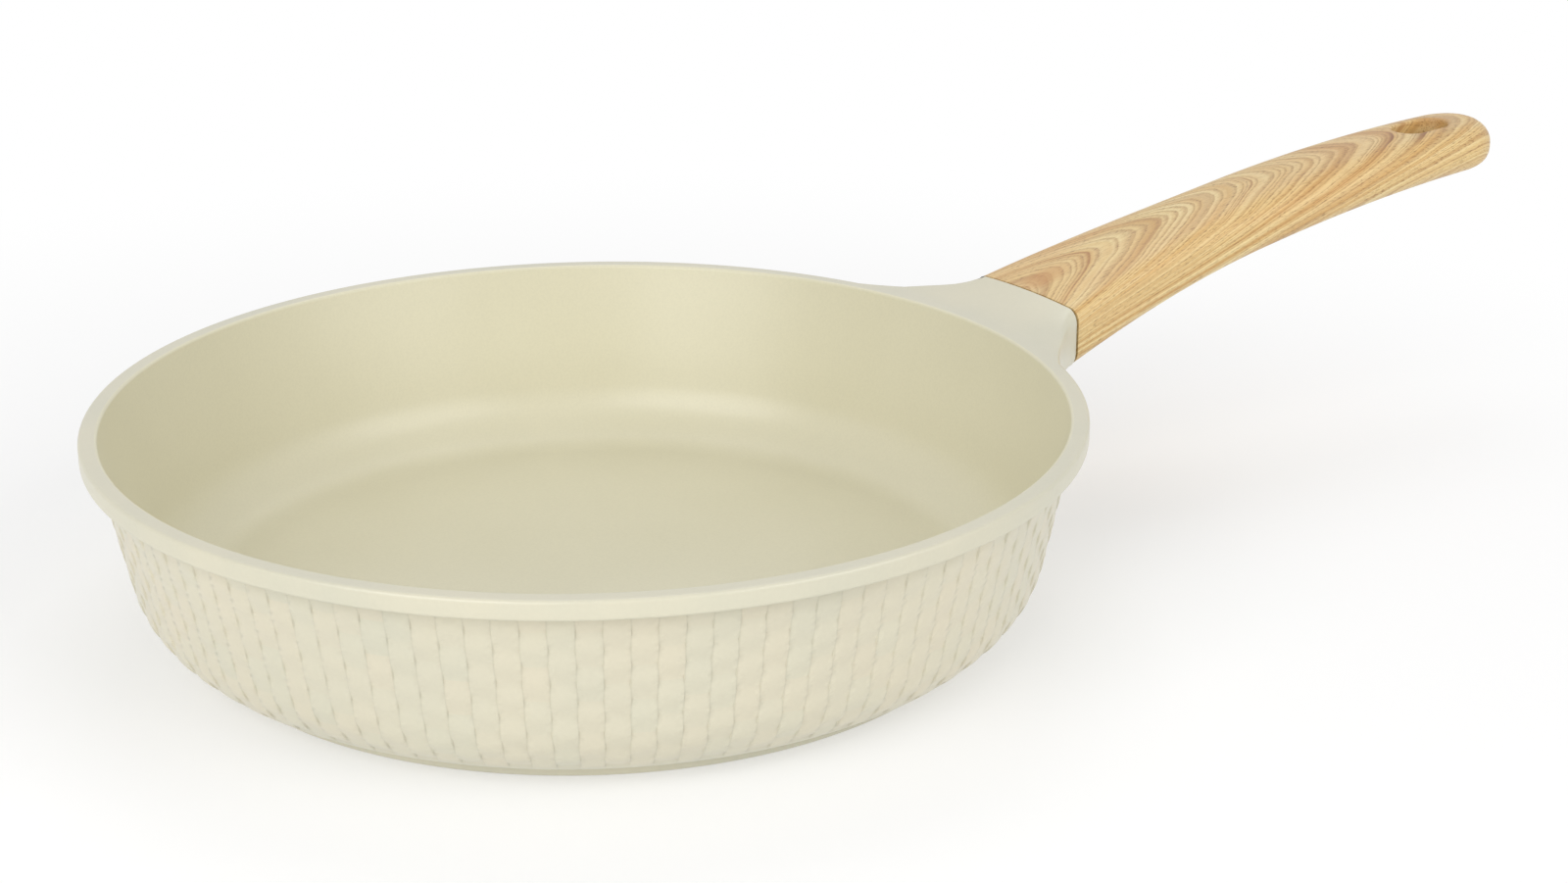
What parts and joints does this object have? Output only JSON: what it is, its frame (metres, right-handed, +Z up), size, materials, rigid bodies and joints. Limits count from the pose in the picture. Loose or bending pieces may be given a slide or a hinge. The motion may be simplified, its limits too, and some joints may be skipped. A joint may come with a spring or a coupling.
{
  "type": "frying pan",
  "caption": "Round die-cast frying pan with a woven-relief side wall, a cast lug and one arched wood-effect handle with a hang hole.",
  "frame": {"origin": "centre of the base's underside, where the pan rests", "axes": "+Z up out of the pan's mouth, +X from the bowl's centre along the handle, +Y to the left when looking from the bowl to the handle's tip"},
  "size_m": [0.498, 0.28, 0.0942],
  "materials": {
    "cream_enamelled_casting": "satin ceramic coating over die-cast aluminium",
    "stainless_plate": "turned",
    "brass_insert": "machined",
    "grey_silicone": "matte",
    "wood_effect_handle": "satin wood-effect film",
    "zinc_plated_steel": "zinc plated",
    "tan_silicone": "matte"
  },
  "bodies": {
    "root": {"pan_body": "cream_enamelled_casting", "induction_plate": "stainless_plate", "thread_insert": "brass_insert", "handle_gasket": "grey_silicone", "handle": "wood_effect_handle", "screw_washer": "zinc_plated_steel", "handle_screw": "zinc_plated_steel", "screw_plug": "tan_silicone"}
  },
  "joints": []
}
